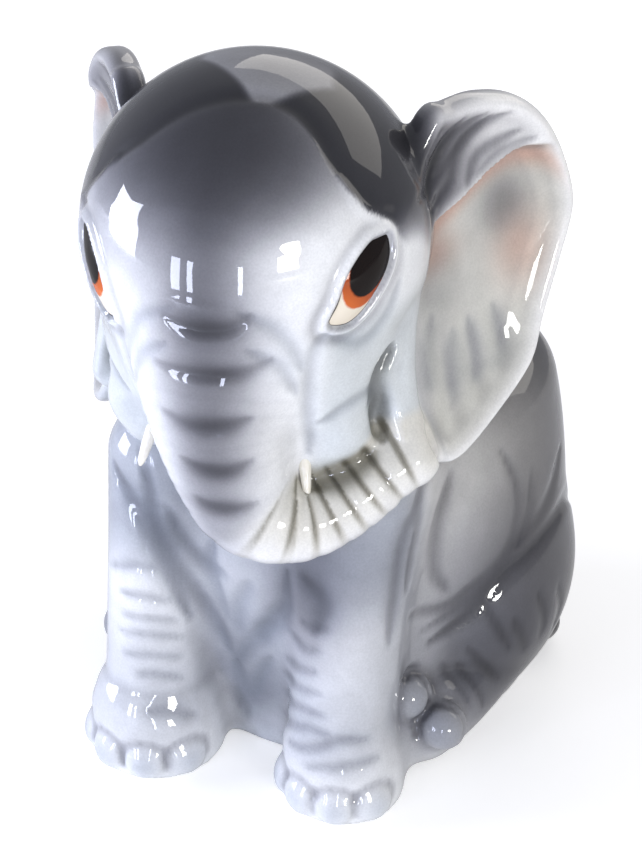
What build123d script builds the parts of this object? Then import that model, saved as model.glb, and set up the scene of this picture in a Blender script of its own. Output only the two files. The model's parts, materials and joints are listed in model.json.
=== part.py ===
from build123d import *
import math
import os

os.makedirs("parts", exist_ok=True)

# A seated elephant bank, in millimetres. It stands on z = 0 and faces -Y; +X is its own left side.

# ---- fired shell and its luted members ----
shell_wall = 4.0  # wall of the slip-cast body and head
base_thickness = 7.0

# ---- torso: an upright barrel with a flat back, and the chest and neck in front of it ----
torso_height = 98.0
torso_half_width = 53.0
torso_half_depth = 48.0
torso_y = 18.0
torso_top_share = 0.1122  # rounding where the flat back turns down, as a share of the height
torso_top_radius = torso_top_share * torso_height
chest_rise = 18.0  # how far the neck stands above the torso
chest_height = torso_height + chest_rise
chest_half_width = 38.0
chest_half_depth = 31.0
chest_x = -2.0
chest_forward = 34.0  # how far the chest's middle lies in front of the torso's
chest_y = torso_y - chest_forward

# Each level's height, half width, half depth and shift in Y, as shares of the sizes above.
torso_profile = (
    (0.00, 0.86, 0.92, 0.00),
    (0.29, 1.00, 1.01, 0.02),
    (0.61, 1.00, 1.00, 0.02),
    (0.84, 0.94, 0.94, 0.04),
    (1.00, 0.86, 0.84, 0.06),
)
chest_profile = (
    (0.00, 0.88, 0.68, 0.06),
    (0.26, 1.00, 0.86, 0.03),
    (0.52, 1.00, 1.00, 0.00),
    (0.78, 0.89, 0.86, -0.06),
    (1.00, 0.66, 0.72, -0.20),
)

# ---- head, in its own plane: X to its left, -Y the way it looks ----
head_radius = 40.0
head_x = -6.0
head_y = -30.0
head_rise = 47.0  # how far its middle stands above the torso
head_z = torso_height + head_rise
head_yaw = 7.5
cheek_radius = 18.0
cheek_spread = 15.5
cheek_forward = 8.0
cheek_drop = 29.0
jaw_radius = 9.5
jaw_spread = 22.0
jaw_forward = 10.0
jaw_drop = 42.0

# ---- trunk: its centre line in the head's plane, with its radius at each point ----
trunk_route = (
    ((0.0, -10.0, 0.0), 29.0),
    ((0.0, -20.0, -15.0), 22.5),
    ((0.5, -26.0, -32.0), 16.5),
    ((3.0, -27.0, -46.0), 13.8),
    ((7.0, -26.5, -56.0), 12.0),
    ((14.0, -25.0, -60.5), 10.0),
    ((21.0, -21.0, -61.0), 8.6),
    ((28.0, -16.0, -57.5), 7.8),
    ((36.0, -10.0, -51.0), 7.2),
    ((42.0, -6.0, -47.0), 6.0),
    ((45.0, -4.0, -46.0), 5.2),
)
nostril_radius = 2.6
nostril_depth = 4.0

# ---- ears: cupped plates, cut from a hollow ball ----
ear_thickness = 6.0
ear_ball_radius = 140.0
ear_setback = 3.4  # how far the middle of the cup lies behind the ear plane
ear_cup_out = 22.0  # the middle of the cup, outward and up from the root
ear_cup_up = 2.0
ear_root_spread = 34.0
ear_root_back = 5.0
ear_sweep = 54.0  # degrees the ear leans back from straight sideways
ear_edge_radius = 1.2
ear_outline = (  # from the root outward, and upward
    (5.0, 27.0),
    (12.0, 28.5),
    (21.0, 29.0),
    (32.0, 26.0),
    (41.0, 18.0),
    (47.5, 8.0),
    (50.5, -4.0),
    (47.0, -17.0),
    (41.5, -30.0),
    (36.0, -41.0),
    (23.0, -50.5),
    (10.0, -56.0),
    (2.0, -54.0),
    (-2.0, -46.0),
    (-6.0, -20.0),
    (-8.0, 8.0),
)

# ---- tusks: two short milk tusks beside the trunk ----
tusk_root_radius = 3.0
tusk_tip_radius = 0.9
tusk_length = 14.0
tusk_spread = 18.5
tusk_forward = 20.5
tusk_root_drop = 40.0
tusk_tip_rounding = 0.8

# ---- forelegs ----
foreleg_drop = 16.0  # how far the forelegs end below the top of the torso
foreleg_height = torso_height - foreleg_drop
left_foreleg_radius = 14.0
right_foreleg_radius = 13.4
left_foreleg_x = 22.0
left_foreleg_y = -40.0
right_foreleg_x = -29.5
right_foreleg_y = -45.0
foreleg_profile = (  # share of the height, radius and shift in Y as shares of the radius
    (0.00, 1.05, -0.14),
    (0.10, 1.18, -0.14),
    (0.26, 1.02, 0.00),
    (0.55, 0.95, 0.14),
    (0.84, 1.02, 0.43),
    (1.00, 0.84, 0.79),
)

# ---- hind legs: a haunch with the shin and foot lying forward of it ----
haunch_half_width = 20.5
haunch_half_depth = 30.0
haunch_half_height = 31.0
haunch_sink = 15.5  # how far its middle lies inside the torso's side
haunch_forward = 1.0  # and in front of the torso's middle
haunch_x = torso_half_width - haunch_sink
haunch_y = torso_y - haunch_forward
haunch_z = 36.0
shin_route = (  # from the floor under the haunch's middle
    ((-2.5, 5.0, 25.0), 18.0),
    ((-1.5, -11.0, 16.0), 14.5),
    ((-2.5, -23.0, 14.0), 13.8),
    ((-3.5, -32.0, 13.0), 13.0),
    ((-4.0, -39.0, 12.5), 11.5),
)

# ---- toenails ----
nail_radius = 5.6
nail_height = 4.8
nail_angles = (-54.0, -18.0, 18.0, 54.0)  # round the forefoot, from straight ahead
nail_inset = 4.2  # how far inside the foot's outline each nail is centred
hind_nail_radius = 6.0
hind_nail_places = ((-9.0, -39.0, 17.0), (0.5, -37.5, 14.5))

# ---- tail: down the rump and round to the left on the floor ----
tail_route = (  # from the floor under the torso's back
    ((2.0, -6.0, 52.0), 4.2),
    ((6.5, 1.5, 29.0), 3.8),
    ((20.0, -4.0, 10.0), 3.6),
    ((34.0, -15.0, 5.0), 3.8),
    ((43.5, -25.0, 6.5), 5.8),
    ((47.0, -32.5, 8.0), 3.2),
)

# ---- coin slot ----
slot_length = 34.0
slot_width = 5.0
slot_back = 14.0  # behind the torso's middle
slot_y = torso_y + slot_back

# ---- stopper and its hole ----
hole_radius = 15.0
stopper_back = 12.0  # behind the torso's middle
stopper_y = torso_y + stopper_back
stopper_clearance = 0.08  # round the plug
flange_radius = 18.0
flange_thickness = 2.0
recess_clearance = 1.5  # round the flange, room for a fingernail
recess_depth = 3.5
plug_length = 10.0
plug_wall = 3.0
plug_lead = 1.0
tab_length = 15.0
tab_width = 8.0
tab_thickness = 0.9

cheek_places = [(side * cheek_spread, -cheek_forward, -cheek_drop) for side in (1, -1)]
jaw_places = [(side * jaw_spread, -jaw_forward, -jaw_drop) for side in (1, -1)]
haunch_plane = Plane(origin=(haunch_x, haunch_y, 0.0))
back_plane = Plane(origin=(0.0, torso_y + torso_half_depth, 0.0))
head_plane = Plane(origin=(head_x, head_y, head_z)).rotated((0, 0, head_yaw))


def level(height, half_width, half_depth, x, y, seam_at_back=False):
    with BuildSketch(Plane.XY.offset(height)) as outline:
        with Locations((x, y)):
            if seam_at_back:
                Ellipse(half_depth, half_width, rotation=90)
            else:
                Ellipse(half_width, half_depth)
    return outline.sketch


def levels(profile, height, half_width, half_depth, x, y, wall=0.0, seam_at_back=False):
    return [
        level(
            share * (height - wall),
            width_share * half_width - wall,
            depth_share * half_depth - wall,
            x,
            y + shift * half_depth,
            seam_at_back,
        )
        for share, width_share, depth_share, shift in profile
    ]


def torso_levels(wall=0.0):
    return levels(
        torso_profile, torso_height, torso_half_width, torso_half_depth, 0.0, torso_y, wall
    )


def chest_levels(wall=0.0):
    # the seam of the chest lies inside the torso, clear of the line where the two meet
    return levels(
        chest_profile,
        chest_height,
        chest_half_width,
        chest_half_depth,
        chest_x,
        chest_y,
        wall,
        seam_at_back=True,
    )


def rings(route, plane):
    centres = [plane.from_local_coords(Vector(*point)) for point, radius in route]
    centre_line = Edge.make_spline(centres)
    sections = []
    for centre, (point, radius) in zip(centres, route):
        tangent = centre_line.tangent_at(centre_line.param_at_point(centre))
        with BuildSketch(Plane(origin=centre, z_dir=tangent)) as ring:
            Circle(radius)
        sections.append(ring.sketch)
    return sections


# ---- forms that several pieces are cut from ----
with BuildPart() as body_form:
    loft(torso_levels())
    fillet(body_form.faces().sort_by(Axis.Z)[-1].edges(), torso_top_radius)
    loft(chest_levels())

with BuildPart() as torso_hollow:
    loft(torso_levels(shell_wall))
    fillet(torso_hollow.faces().sort_by(Axis.Z)[-1].edges(), torso_top_radius - shell_wall)

with BuildPart() as chest_hollow:
    loft(chest_levels(shell_wall))

with BuildPart() as body_hollow:
    add(chest_hollow.part)
    add(torso_hollow.part)

with BuildPart() as head_form:
    with Locations(head_plane):
        Sphere(head_radius)
        with Locations(*cheek_places):
            Sphere(cheek_radius)
        with Locations(*jaw_places):
            Sphere(jaw_radius)

with BuildPart() as head_hollow:
    with Locations(head_plane):
        Sphere(head_radius - shell_wall)
        with Locations(*cheek_places):
            Sphere(cheek_radius - shell_wall)


def foreleg_levels(x, y, radius, wall=0.0, floor=0.0):
    return [
        level(
            floor + share * (foreleg_height - floor - wall),
            size * radius - wall,
            size * radius - wall,
            x,
            y + shift * radius,
        )
        for share, size, shift in foreleg_profile
    ]


def left_foreleg_levels(wall=0.0, floor=0.0):
    return foreleg_levels(left_foreleg_x, left_foreleg_y, left_foreleg_radius, wall, floor)


def right_foreleg_levels(wall=0.0, floor=0.0):
    return foreleg_levels(right_foreleg_x, right_foreleg_y, right_foreleg_radius, wall, floor)


with BuildPart() as foreleg_hollows:
    loft(left_foreleg_levels(shell_wall, base_thickness))
    loft(right_foreleg_levels(shell_wall, base_thickness))

# ---- torso shell: open below for the base plate, open above into the head ----
with BuildPart() as torso_shell:
    add(body_form.part)
    add(torso_hollow.part, mode=Mode.SUBTRACT)
    add(chest_hollow.part, mode=Mode.SUBTRACT)
    add(foreleg_hollows.part, mode=Mode.SUBTRACT)
    add(head_form.part, mode=Mode.SUBTRACT)
    with BuildSketch(Plane.XY.offset(torso_height)):
        with Locations((0.0, slot_y)):
            SlotOverall(slot_length, slot_width)
    extrude(amount=-2 * shell_wall, mode=Mode.SUBTRACT)

# ---- head shell ----
with BuildPart() as head_shell:
    add(head_form.part)
    add(head_hollow.part, mode=Mode.SUBTRACT)
    add(chest_hollow.part, mode=Mode.SUBTRACT)


# ---- forelegs: hollow columns open into the chest, with four toenails each ----
def nail_places(x, y, radius):
    reach = foreleg_profile[1][1] * radius - nail_inset
    return [
        (
            x + reach * math.sin(math.radians(angle)),
            y + foreleg_profile[1][2] * radius - reach * math.cos(math.radians(angle)),
            nail_height,
        )
        for angle in nail_angles
    ]


with BuildPart() as left_foreleg:
    loft(left_foreleg_levels())
    with Locations(*nail_places(left_foreleg_x, left_foreleg_y, left_foreleg_radius)):
        Sphere(nail_radius)
    split(bisect_by=Plane.XY, keep=Keep.TOP)
    add(foreleg_hollows.part, mode=Mode.SUBTRACT)
    add(body_form.part, mode=Mode.SUBTRACT)
    add(head_form.part, mode=Mode.SUBTRACT)

with BuildPart() as right_foreleg:
    loft(right_foreleg_levels())
    with Locations(*nail_places(right_foreleg_x, right_foreleg_y, right_foreleg_radius)):
        Sphere(nail_radius)
    split(bisect_by=Plane.XY, keep=Keep.TOP)
    add(foreleg_hollows.part, mode=Mode.SUBTRACT)
    add(body_form.part, mode=Mode.SUBTRACT)
    add(head_form.part, mode=Mode.SUBTRACT)

# ---- trunk: one lofted curl with a nostril in its tip ----
with BuildPart() as trunk:
    loft(rings(trunk_route, head_plane))
    tip = trunk.faces().filter_by(GeomType.PLANE).sort_by(SortBy.AREA)[0]
    with BuildSketch(Plane(tip)):
        Circle(nostril_radius)
    extrude(amount=-nostril_depth, mode=Mode.SUBTRACT)
    add(head_form.part, mode=Mode.SUBTRACT)
    add(body_form.part, mode=Mode.SUBTRACT)
    add(left_foreleg.part, mode=Mode.SUBTRACT)

# ---- ears: an outline cut from a hollow ball, so that each is cupped towards the front ----
ear_root = head_plane.from_local_coords(Vector(ear_root_spread, ear_root_back, 0.0))
ear_outward = Vector(1, 0, 0).rotate(Axis.Z, head_yaw + ear_sweep)
ear_plane = Plane(origin=ear_root, x_dir=ear_outward, z_dir=ear_outward.cross(Vector(0, 0, 1)))
ear_cup_depth = ear_ball_radius - ear_thickness - ear_setback
ear_cup = ear_plane.from_local_coords(Vector(ear_cup_out, ear_cup_up, ear_cup_depth))
head_middle = Plane(origin=head_plane.origin, z_dir=head_plane.x_dir)

with BuildPart() as ear_form:
    with BuildSketch(ear_plane.offset(-ear_ball_radius / 2)):
        with BuildLine():
            Spline(*ear_outline, periodic=True)
        make_face()
    extrude(amount=ear_ball_radius)
    with Locations(ear_cup):
        Sphere(ear_ball_radius, mode=Mode.INTERSECT)
        Sphere(ear_ball_radius - ear_thickness, mode=Mode.SUBTRACT)
    fillet(ear_form.edges(), ear_edge_radius)

with BuildPart() as left_ear:
    add(ear_form.part)
    add(head_form.part, mode=Mode.SUBTRACT)
    add(body_form.part, mode=Mode.SUBTRACT)
    add(trunk.part, mode=Mode.SUBTRACT)

with BuildPart() as right_ear:
    mirror(ear_form.part, about=head_middle)
    add(head_form.part, mode=Mode.SUBTRACT)
    add(body_form.part, mode=Mode.SUBTRACT)


# ---- tusks: short milk tusks beside the trunk ----
def tusk_centre(side):
    drop = tusk_root_drop + tusk_length / 2
    return head_plane.from_local_coords(Vector(side * tusk_spread, -tusk_forward, -drop))


with BuildPart() as left_tusk:
    with Locations(tusk_centre(1)):
        Cone(tusk_tip_radius, tusk_root_radius, tusk_length)
    fillet(left_tusk.edges().sort_by(Axis.Z)[0], tusk_tip_rounding)
    add(head_form.part, mode=Mode.SUBTRACT)
    add(trunk.part, mode=Mode.SUBTRACT)
    add(body_form.part, mode=Mode.SUBTRACT)

with BuildPart() as right_tusk:
    with Locations(tusk_centre(-1)):
        Cone(tusk_tip_radius, tusk_root_radius, tusk_length)
    fillet(right_tusk.edges().sort_by(Axis.Z)[0], tusk_tip_rounding)
    add(head_form.part, mode=Mode.SUBTRACT)
    add(trunk.part, mode=Mode.SUBTRACT)
    add(body_form.part, mode=Mode.SUBTRACT)

# ---- hind legs: a haunch on the flank, with the shin and foot lying forward of it ----
haunch_form = scale(Sphere(1.0), by=(haunch_half_width, haunch_half_depth, haunch_half_height))

with BuildPart() as left_hindleg:
    loft(rings(shin_route, haunch_plane))
    with Locations((haunch_x, haunch_y, haunch_z)):
        add(haunch_form)
    with Locations(haunch_plane):
        with Locations(*hind_nail_places):
            Sphere(hind_nail_radius)
    split(bisect_by=Plane.XY, keep=Keep.TOP)
    add(body_form.part, mode=Mode.SUBTRACT)
    add(left_foreleg.part, mode=Mode.SUBTRACT)
    add(foreleg_hollows.part, mode=Mode.SUBTRACT)

with BuildPart() as right_hindleg:
    loft(rings(shin_route, haunch_plane))
    with Locations((haunch_x, haunch_y, haunch_z)):
        add(haunch_form)
    with Locations(haunch_plane):
        with Locations(*hind_nail_places):
            Sphere(hind_nail_radius)
    split(bisect_by=Plane.XY, keep=Keep.TOP)
    mirror(about=Plane.YZ, mode=Mode.REPLACE)
    add(body_form.part, mode=Mode.SUBTRACT)
    add(right_foreleg.part, mode=Mode.SUBTRACT)
    add(foreleg_hollows.part, mode=Mode.SUBTRACT)

# ---- tail: down the rump, then round to the left along the floor ----
with BuildPart() as tail:
    loft(rings(tail_route, back_plane))
    split(bisect_by=Plane.XY, keep=Keep.TOP)
    add(body_form.part, mode=Mode.SUBTRACT)
    add(left_hindleg.part, mode=Mode.SUBTRACT)

# ---- base plate: fills the foot of the shell, with a sunk seat for the stopper ----
with BuildPart() as base_plate:
    add(body_hollow.part)
    split(bisect_by=Plane.XY.offset(base_thickness), keep=Keep.BOTTOM)
    with BuildSketch(Plane.XY):
        with Locations((0.0, stopper_y)):
            Circle(flange_radius + recess_clearance)
    extrude(amount=recess_depth, mode=Mode.SUBTRACT)
    with BuildSketch(Plane.XY):
        with Locations((0.0, stopper_y)):
            Circle(hole_radius)
    extrude(amount=base_thickness, mode=Mode.SUBTRACT)

# ---- stopper: a hollow plug on a flange, with a pull tab under it ----
with BuildPart() as stopper:
    with BuildSketch(Plane.XY.offset(recess_depth)):
        with Locations((0.0, stopper_y)):
            Circle(hole_radius - stopper_clearance)
    extrude(amount=plug_length)
    chamfer(stopper.edges().sort_by(Axis.Z)[-1], plug_lead)
    with BuildSketch(Plane.XY.offset(recess_depth)):
        with Locations((0.0, stopper_y)):
            Circle(flange_radius)
    extrude(amount=-flange_thickness)
    with BuildSketch(Plane.XY.offset(recess_depth)):
        with Locations((0.0, stopper_y)):
            Circle(hole_radius - stopper_clearance - plug_wall)
    extrude(amount=plug_length, mode=Mode.SUBTRACT)
    with BuildSketch(Plane.XY.offset(recess_depth - flange_thickness)):
        with Locations((0.0, stopper_y)):
            SlotOverall(tab_length, tab_width)
    extrude(amount=-tab_thickness)

pieces = {
    "torso_shell": torso_shell,
    "base_plate": base_plate,
    "head_shell": head_shell,
    "trunk": trunk,
    "left_ear": left_ear,
    "right_ear": right_ear,
    "left_tusk": left_tusk,
    "right_tusk": right_tusk,
    "left_foreleg": left_foreleg,
    "right_foreleg": right_foreleg,
    "left_hindleg": left_hindleg,
    "right_hindleg": right_hindleg,
    "tail": tail,
    "stopper": stopper,
}
for name, piece in pieces.items():
    piece.part.label = name
    export_step(piece.part, f"parts/{name}.step")
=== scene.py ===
import json
import math
import bpy
import numpy as np
import openvdb as vdb
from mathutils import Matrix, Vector


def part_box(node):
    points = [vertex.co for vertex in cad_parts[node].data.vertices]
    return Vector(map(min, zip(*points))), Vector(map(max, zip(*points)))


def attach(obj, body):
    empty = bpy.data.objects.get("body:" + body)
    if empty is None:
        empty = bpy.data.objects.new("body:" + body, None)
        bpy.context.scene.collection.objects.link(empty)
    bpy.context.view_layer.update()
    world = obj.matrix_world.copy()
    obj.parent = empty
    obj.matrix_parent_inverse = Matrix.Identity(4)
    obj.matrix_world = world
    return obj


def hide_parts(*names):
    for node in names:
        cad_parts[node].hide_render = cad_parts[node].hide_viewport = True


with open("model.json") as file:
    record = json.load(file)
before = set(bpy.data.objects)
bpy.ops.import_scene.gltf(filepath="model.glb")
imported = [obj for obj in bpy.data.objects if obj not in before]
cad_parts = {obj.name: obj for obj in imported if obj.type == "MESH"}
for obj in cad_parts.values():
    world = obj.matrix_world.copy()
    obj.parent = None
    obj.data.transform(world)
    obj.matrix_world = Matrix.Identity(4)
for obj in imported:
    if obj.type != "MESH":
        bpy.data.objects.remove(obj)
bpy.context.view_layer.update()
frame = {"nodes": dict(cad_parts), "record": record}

# Modelling is in millimetres, in a block of clay: a grid that holds the distance to the surface,
# and beside it the amounts of each airbrushed pigment. The head's place and size and the coin slot come from
# the frame.
mm = 0.001
bodyVoxel = 1.1
headVoxel = 0.74


def boxOf(node):
    low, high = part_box(node)
    return np.array(low) / mm, np.array(high) / mm


def turnZ(degrees):
    angle = math.radians(degrees)
    c, s = math.cos(angle), math.sin(angle)
    return np.array([[c, -s, 0.0], [s, c, 0.0], [0.0, 0.0, 1.0]])


def softMin(a, b, blend):
    if blend <= 0:
        return np.minimum(a, b)
    h = np.clip(0.5 + 0.5 * (b - a) / blend, 0.0, 1.0)
    return b * (1 - h) + a * h - blend * h * (1 - h)


def softMax(a, b, blend):
    return -softMin(-a, -b, blend)


def ramp(x, low, high):
    t = np.clip((x - low) / (high - low), 0.0, 1.0)
    return t * t * (3 - 2 * t)


def curveThrough(rows, steps):
    # A smooth curve through the rows, each a point with any number of values.
    rows = np.array(rows, float)
    ends = np.vstack([2 * rows[0] - rows[1], rows, 2 * rows[-1] - rows[-2]])
    out = []
    for a, b, c, d in zip(ends, ends[1:], ends[2:], ends[3:]):
        for t in np.arange(steps) / steps:
            out.append(
                0.5 * (2 * b + (c - a) * t + (2 * a - 5 * b + 4 * c - d) * t**2
                       + (3 * b - a - 3 * c + d) * t**3)
            )
    out.append(rows[-1])
    return np.array(out)


def closedCurve(rows, steps):
    rows = np.array(rows, float)
    wrapped = np.vstack([rows[-1], rows, rows[0]])
    return curveThrough(wrapped, steps)[steps:-steps - 1]


def gapTo(x, y, z, start, run):
    # How far along a segment the nearest point lies, 0 to 1, and the square of the gap to it.
    px, py, pz = x - start[0], y - start[1], z - start[2]
    t = np.clip((px * run[0] + py * run[1] + pz * run[2]) / max(run @ run, 1e-9), 0, 1)
    return t, (px - t * run[0]) ** 2 + (py - t * run[1]) ** 2 + (pz - t * run[2]) ** 2


def spot(places, centre, radii):
    # 1 at the centre, falling off softly over the radii.
    return np.exp(-sum(((p - c) / r) ** 2 for p, c, r in zip(places, centre, radii)))


def localPlaces(x, y, z, origin, axes):
    # The same places, measured from the origin along each of the axes.
    gaps = (x - origin[0], y - origin[1], z - origin[2])
    return np.broadcast_arrays(*(sum(a * gap for a, gap in zip(axis, gaps)) for axis in axes))


# Shapes: each gives its distance at x, y, z, and the box it fills.
def ball(centre, radii, turn=np.eye(3)):
    centre, radii = np.array(centre, float), np.array(radii, float)
    reach = radii.max()

    def distance(x, y, z):
        parts = [p / r for p, r in zip(localPlaces(x, y, z, centre, turn.T), radii)]
        size = np.sqrt(sum(p * p for p in parts)) + 1e-6
        slope = np.sqrt(sum((p / r) ** 2 for p, r in zip(parts, radii))) + 1e-6
        return size * (size - 1) / slope

    return distance, centre - reach, centre + reach


def limb(route, relief=None):
    # A tube along the route's points, each with its radius; relief adds to the radius along it.
    rows = curveThrough([[*point, radius] for point, radius in route], 4)
    points, radii = rows[:, :3], rows[:, 3]
    runs = np.diff(points, axis=0)
    lengths = np.linalg.norm(runs, axis=1)
    along = np.concatenate([[0.0], np.cumsum(lengths)])

    def distance(x, y, z):
        best = None
        for i, run in enumerate(runs):
            t, gap = gapTo(x, y, z, points[i], run)
            gap = np.sqrt(gap) - (radii[i] + (radii[i + 1] - radii[i]) * t)
            if relief is not None:
                gap = gap - relief(along[i] + t * lengths[i])
            best = gap if best is None else np.minimum(best, gap)
        return best

    reach = radii.max()
    return distance, points.min(0) - reach, points.max(0) + reach


def column(profile, height, halfWidth, halfDepth, x0, y0, topRounding, inset=0.0):
    # Elliptical levels: the height, half width, half depth and shift in Y, each as a share.
    shares, widths, depths, shifts = np.array(profile, float).T
    order = len(shares) - 1
    fits = [np.polyfit(shares, values, order) for values in (widths, depths, shifts)]
    top = height - inset

    def distance(x, y, z):
        share = np.clip(z / top, 0, 1)
        a = halfWidth * np.polyval(fits[0], share) - inset
        b = halfDepth * np.polyval(fits[1], share) - inset
        u, v = (x - x0) / a, (y - y0 - halfDepth * np.polyval(fits[2], share)) / b
        size = np.sqrt(u * u + v * v) + 1e-6
        slope = np.sqrt((u / a) ** 2 + (v / b) ** 2) + 1e-6
        return softMax(size * (size - 1) / slope, z - top, topRounding)

    low = np.array([x0 - halfWidth * 1.1, y0 - halfDepth * 1.1 - 12, -6.0])
    high = np.array([x0 + halfWidth * 1.1, y0 + halfDepth * 1.1 + 12, height])
    return distance, low, high


pigments = ("grey", "umber", "blue", "blush")


class Clay:
    def __init__(self, low, high, voxel):
        self.low, self.voxel = np.array(low, float), voxel
        self.counts = np.ceil((np.array(high) - self.low) / voxel).astype(int) + 1
        self.axes = [
            (self.low[i] + voxel * np.arange(self.counts[i])).astype(np.float32) for i in range(3)
        ]
        self.distance = np.full(self.counts, 30.0, np.float32)
        self.tones = {name: np.zeros(self.counts, np.float32) for name in pigments}

    def window(self, low, high):
        first = np.clip(np.floor((low - self.low) / self.voxel).astype(int), 0, self.counts - 1)
        last = np.clip(np.ceil((high - self.low) / self.voxel).astype(int) + 1, 1, self.counts)
        part = tuple(slice(a, b) for a, b in zip(first, last))
        x, y, z = np.meshgrid(
            *(axis[s] for axis, s in zip(self.axes, part)), indexing="ij", sparse=True
        )
        return part, x, y, z

    def add(self, shape, blend=0.0):
        distance, low, high = shape
        part, x, y, z = self.window(low - blend - 4, high + blend + 4)
        self.distance[part] = softMin(self.distance[part], distance(x, y, z), blend)

    def cut(self, shape, blend=0.0):
        distance, low, high = shape
        part, x, y, z = self.window(low - blend - 4, high + blend + 4)
        self.distance[part] = softMax(self.distance[part], -distance(x, y, z), blend)

    def stroke(self, points, width, depth=0.0, even=False, **tones):
        # A groove (or, with a negative depth, a ridge) pressed along the points on the surface,
        # and the pigment brushed along it, which spreads wider than the groove.
        points = self.settle(curveThrough(points, 4))
        reach = width * 3.4
        part, x, y, z = self.window(points.min(0) - reach, points.max(0) + reach)
        best = None
        runs = np.diff(points, axis=0)
        for i, run in enumerate(runs):
            t, gap = gapTo(x, y, z, points[i], run)
            gap = gap / (width * width)
            if not even:
                # the stroke thins out towards both ends
                share = (i + t) / len(runs)
                gap = gap / np.clip(4.2 * share * (1 - share), 0.1, 1.0)
            best = gap if best is None else np.minimum(best, gap)
        if depth:
            self.distance[part] += depth * np.exp(-best)
        for name, amount in tones.items():
            self.tones[name][part] += amount * np.exp(-best / 1.5)

    def swell(self, centre, radii, height):
        # A soft rise of the surface, or with a negative height a hollow.
        self.patch(self.distance, centre, radii, -height)

    def spray(self, centre, radii, **tones):
        # A soft airbrushed patch, strongest in its middle.
        for name, amount in tones.items():
            self.patch(self.tones[name], centre, radii, amount)

    def patch(self, grid, centre, radii, amount):
        centre, radii = np.array(centre, float), np.array(radii, float)
        reach = radii.max() * 1.7
        part, x, y, z = self.window(centre - reach, centre + reach)
        grid[part] += amount * spot((x, y, z), centre, radii / math.sqrt(1.4))

    def sample(self, grid, points):
        place = np.clip((points - self.low) / self.voxel, 0, self.counts - 1.001)
        cell = place.astype(int)
        f = place - cell
        out = 0.0
        for i in (0, 1):
            for j in (0, 1):
                for k in (0, 1):
                    weight = (
                        (f[:, 0] if i else 1 - f[:, 0])
                        * (f[:, 1] if j else 1 - f[:, 1])
                        * (f[:, 2] if k else 1 - f[:, 2])
                    )
                    out = out + weight * grid[cell[:, 0] + i, cell[:, 1] + j, cell[:, 2] + k]
        return out

    def slope(self, points):
        out = np.empty_like(points)
        for axis, shift in enumerate(self.voxel * np.eye(3)):
            ahead = self.sample(self.distance, points + shift)
            out[:, axis] = ahead - self.sample(self.distance, points - shift)
        return out / (2 * self.voxel)

    def settle(self, points, rounds=5):
        # Moves points onto the nearest surface.
        points = np.array(points, float)
        for _ in range(rounds):
            slope = self.slope(points)
            gap = self.sample(self.distance, points)
            points = points - 0.9 * (gap / np.maximum((slope**2).sum(1), 0.3))[:, None] * slope
        return points

    def land(self, points, direction, reach=120.0):
        # Where lines from the points, along the direction, first meet the surface.
        points = np.array(points, float)
        direction = np.array(direction, float) / np.linalg.norm(direction)
        travel = np.zeros(len(points))
        for _ in range(160):
            gap = self.sample(self.distance, points + travel[:, None] * direction)
            step = np.clip(gap, 0.1, 2.0) * 0.8
            travel = np.where(gap > 0.05, np.minimum(travel + step, reach), travel)
        return points + travel[:, None] * direction

    def mesh(self, name):
        grid = vdb.FloatGrid()
        grid.background = 30.0
        grid.copyFromArray(self.distance)
        grid.transform = vdb.createLinearTransform(voxelSize=self.voxel)
        points, quads = grid.convertToQuads()
        points = self.settle(points.astype(float) + self.low, 3)
        normals = self.slope(points)
        normals /= np.linalg.norm(normals, axis=1)[:, None] + 1e-9
        # darker where the surface is hollow, from pooled stain and from painted shade, and wiped paler where
        # it stands proud
        hollow = soften(self.distance, 5) - self.distance
        hollowPoolAndShade = -self.sample(hollow, points)
        amounts = {pigment: self.sample(tone, points) for pigment, tone in self.tones.items()}
        print(name, len(quads), "quads")
        return points, normals, quads.tolist(), amounts, hollowPoolAndShade


def soften(grid, passes):
    for _ in range(passes):
        for axis in range(3):
            a = np.swapaxes(grid, 0, axis)
            b = a.copy()
            b[1:-1] = 0.25 * a[:-2] + 0.5 * a[1:-1] + 0.25 * a[2:]
            grid = np.swapaxes(b, 0, axis)
    return grid


def colour(code):
    # from sRGB hex to the linear values that the renderer works in
    values = [int(code[i:i + 2], 16) / 255 for i in (1, 3, 5)]
    return [v / 12.92 if v <= 0.04045 else ((v + 0.055) / 1.055) ** 2.4 for v in values] + [1.0]


def addObject(name, data):
    thing = bpy.data.objects.new(name, data)
    bpy.context.scene.collection.objects.link(thing)
    return thing


def makePiece(name, points, faces, normals=None, paint=None):
    data = bpy.data.meshes.new(name)
    data.from_pydata((points * mm).tolist(), [], faces)
    data.shade_smooth()
    if normals is not None:
        data.normals_split_custom_set_from_vertices(normals.tolist())
    if paint is not None:
        layer = data.color_attributes.new("underglaze", "FLOAT_COLOR", "POINT")
        layer.data.foreach_set("color", np.column_stack([paint, np.ones(len(paint))]).ravel())
    return addObject(name, data)


def mixPigments(amounts, white, codes):
    # Thin layers of stain over white ware, each swallowing its share of the light.
    white = np.array(colour(white)[:3])
    depth = 0.0
    for name, code in codes.items():
        strength = -np.log(np.array(colour(code)[:3]) / white)
        depth = depth + np.clip(amounts[name], 0, None)[:, None] * strength
    return white * np.exp(-depth)


# Places and sizes, from the frame where it has them.
headLow, headHigh = boxOf("head_shell")
headRadius = (headHigh[0] - headLow[0]) / 2
headCentre = np.array(
    [(headLow[0] + headHigh[0]) / 2, (headLow[1] + headHigh[1]) / 2, headHigh[2] - headRadius]
)
headYaw = 7.5
headTurn = turnZ(headYaw)
wall = 4.0
slotLow, slotHigh = (
    np.array(corner) / mm
    for corner in next(
        o["box_m"] for o in frame["record"]["physics"]["openings"] if o["name"] == "coin_slot"
    )
)


def inHead(x, y, z):
    return headCentre + headTurn @ np.array([x, y, z], float)


def mirrored(point, side):
    return (side * point[0], *point[1:])


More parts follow.
